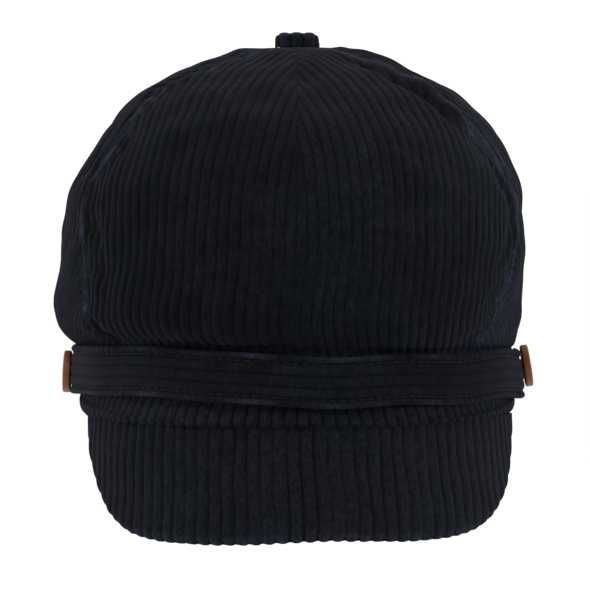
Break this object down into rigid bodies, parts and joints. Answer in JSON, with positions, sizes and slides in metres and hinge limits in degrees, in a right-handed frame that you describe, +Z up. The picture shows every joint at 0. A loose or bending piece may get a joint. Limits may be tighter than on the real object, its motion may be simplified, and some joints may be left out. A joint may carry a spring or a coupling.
{
  "type": "newsboy cap",
  "caption": "Newsboy cap in dark wide-wale corduroy: gored crown with a covered top button, headband, short curved peak, and a front strap held by side buttons.",
  "frame": {"origin": "centre of the head opening, level with the headband's lower edge", "axes": "+Z up through the crown, the peak and front face -Y, +X is the wearer's left"},
  "size_m": [0.1918, 0.2498, 0.1975],
  "materials": {
    "corduroy": "cotton wide-wale corduroy with a soft pile",
    "lining": "satin lining",
    "ribbon": "ribbed grosgrain ribbon",
    "label": "blank woven label",
    "board": "matt board",
    "interlining": "non-woven interlining",
    "button_wood": "satin reddish-brown wood",
    "button_metal": "plain pressed metal",
    "thread": "twisted cotton thread"
  },
  "bodies": {
    "cap": {"crown_panel_front_left": "corduroy", "crown_panel_front_right": "corduroy", "crown_panel_side_left": "corduroy", "crown_panel_side_right": "corduroy", "crown_panel_back_left": "corduroy", "crown_panel_back_right": "corduroy", "lining_panel_front_left": "lining", "lining_panel_front_right": "lining", "lining_panel_side_left": "lining", "lining_panel_side_right": "lining", "lining_panel_back_left": "lining", "lining_panel_back_right": "lining", "headband": "corduroy", "band_stiffener": "board", "back_elastic": "ribbon", "sweatband": "ribbon", "size_label": "label", "peak_top": "corduroy", "peak_board": "board", "peak_underside": "corduroy", "top_button_cover": "corduroy", "top_button_shell": "button_metal", "top_button_fastener": "button_metal", "left_button_shank": "thread", "right_button_shank": "thread"},
    "strap": {"strap_face": "corduroy", "strap_interlining": "interlining", "strap_backing": "corduroy"},
    "left_button": {"left_button": "button_wood", "left_button_cross_stitch": "thread"},
    "right_button": {"right_button": "button_wood", "right_button_cross_stitch": "thread"}
  },
  "joints": [
    {"name": "strap_swing", "type": "hinge", "parent": "cap", "child": "strap", "pos_m": [0, 0, 0.0166], "axis": [0.9999, 0, 0.0111], "range_deg": [-1, 3.5]},
    {"name": "left_button_turn", "type": "hinge", "parent": "cap", "child": "left_button", "pos_m": [0.09, 0, 0.0176], "axis": [0.9877, 0, 0.1564], "range_deg": [-60, 60]},
    {"name": "right_button_turn", "type": "hinge", "parent": "cap", "child": "right_button", "pos_m": [-0.09, 0, 0.0156], "axis": [-0.999, 0, 0.0436], "range_deg": [-60, 60]}
  ]
}
